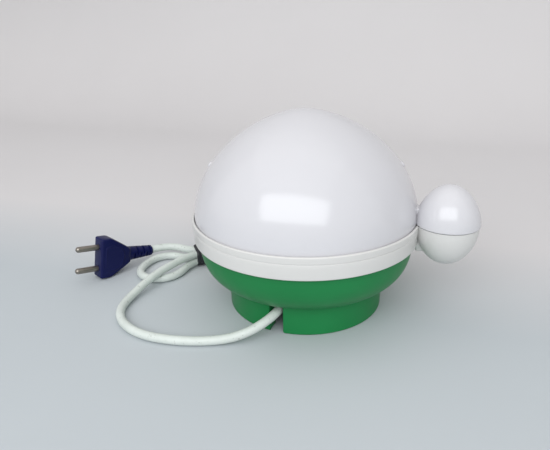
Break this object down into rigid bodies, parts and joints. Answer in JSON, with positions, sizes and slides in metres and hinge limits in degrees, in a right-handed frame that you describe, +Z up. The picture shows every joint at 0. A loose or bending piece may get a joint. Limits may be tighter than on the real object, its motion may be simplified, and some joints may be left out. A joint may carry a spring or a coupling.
{
  "type": "tabletop egg incubator",
  "caption": "Round tabletop egg incubator: lift-off domed lid, egg tray over a heated steel pan, green bowl base on a foot ring, half-egg side lug, tied mains cord with two-pin plug",
  "frame": {"origin": "On the table, under the middle of the housing and its side lug, without the cord and plug.", "axes": "+X from the round housing to the half-egg lug, +Z up, and -Y towards the side the cord leaves from."},
  "size_m": [0.3151, 0.1996, 0.1485],
  "materials": {
    "lid_gloss_white": "smooth injection-moulded gloss with a faint lavender tint",
    "ring_satin_white": "satin moulded plastic",
    "bowl_green": "satin moulded plastic with fine grain",
    "tray_ivory": "plain moulded polypropylene",
    "pan_stainless": "spun stainless sheet with fine circular lines",
    "zinc_steel": "zinc-plated steel",
    "element_sheath": "heat-dulled nickel-steel sheath",
    "bright_aluminium": "rolled aluminium sheet",
    "gasket_silicone": "moulded silicone rubber",
    "phenolic_black": "moulded phenolic",
    "terminal_nylon": "moulded nylon",
    "lead_red": "silicone sleeved lead",
    "lead_blue": "silicone sleeved lead",
    "lead_white": "silicone sleeved lead",
    "cord_pvc": "soft off-white PVC jacket, lightly soiled",
    "tie_black": "soft black band",
    "plug_blue": "moulded dark blue PVC, satin",
    "pin_nickel": "nickel-plated brass, slightly tarnished"
  },
  "bodies": {
    "base": {"rim_ring": "ring_satin_white", "base_bowl": "bowl_green", "bottom_cover": "bowl_green", "heating_pan": "pan_stainless", "element_clamp": "zinc_steel", "thermostat_clip": "zinc_steel", "stud_nut": "zinc_steel", "pan_stud": "zinc_steel", "ring_screw_1": "zinc_steel", "ring_screw_2": "zinc_steel", "ring_screw_3": "zinc_steel", "ring_screw_4": "zinc_steel", "shield_screw_1": "zinc_steel", "shield_screw_2": "zinc_steel", "shield_screw_3": "zinc_steel", "cover_screw_1": "zinc_steel", "cover_screw_2": "zinc_steel", "cover_screw_3": "zinc_steel", "terminal_screw_1": "zinc_steel", "terminal_screw_2": "zinc_steel", "clamp_screw_1": "zinc_steel", "clamp_screw_2": "zinc_steel", "heating_element": "element_sheath", "thermostat_cap": "bright_aluminium", "heat_shield": "bright_aluminium", "pan_gasket": "gasket_silicone", "thermostat_base": "phenolic_black", "thermal_fuse": "phenolic_black", "terminal_block": "terminal_nylon", "cord_clamp": "terminal_nylon", "lead_live": "lead_red", "lead_neutral": "lead_blue", "lead_heater": "lead_white", "inner_cord": "lead_white", "strain_relief": "cord_pvc", "cord_run": "cord_pvc", "cord_loop": "cord_pvc", "cord_tail": "cord_pvc", "cord_hank": "cord_pvc", "cord_tie": "tie_black", "plug_body": "plug_blue", "plug_boot": "plug_blue", "plug_pin_1": "pin_nickel", "plug_pin_2": "pin_nickel"},
    "lid": {"lid_dome": "lid_gloss_white"},
    "tray": {"egg_tray": "tray_ivory"}
  },
  "joints": [
    {"name": "lid_lift", "type": "slide", "parent": "base", "child": "lid", "axis": [0, 0, 1], "range_m": [0, 0.12]},
    {"name": "tray_lift", "type": "slide", "parent": "base", "child": "tray", "axis": [0, 0, 1], "range_m": [0, 0.016]}
  ]
}
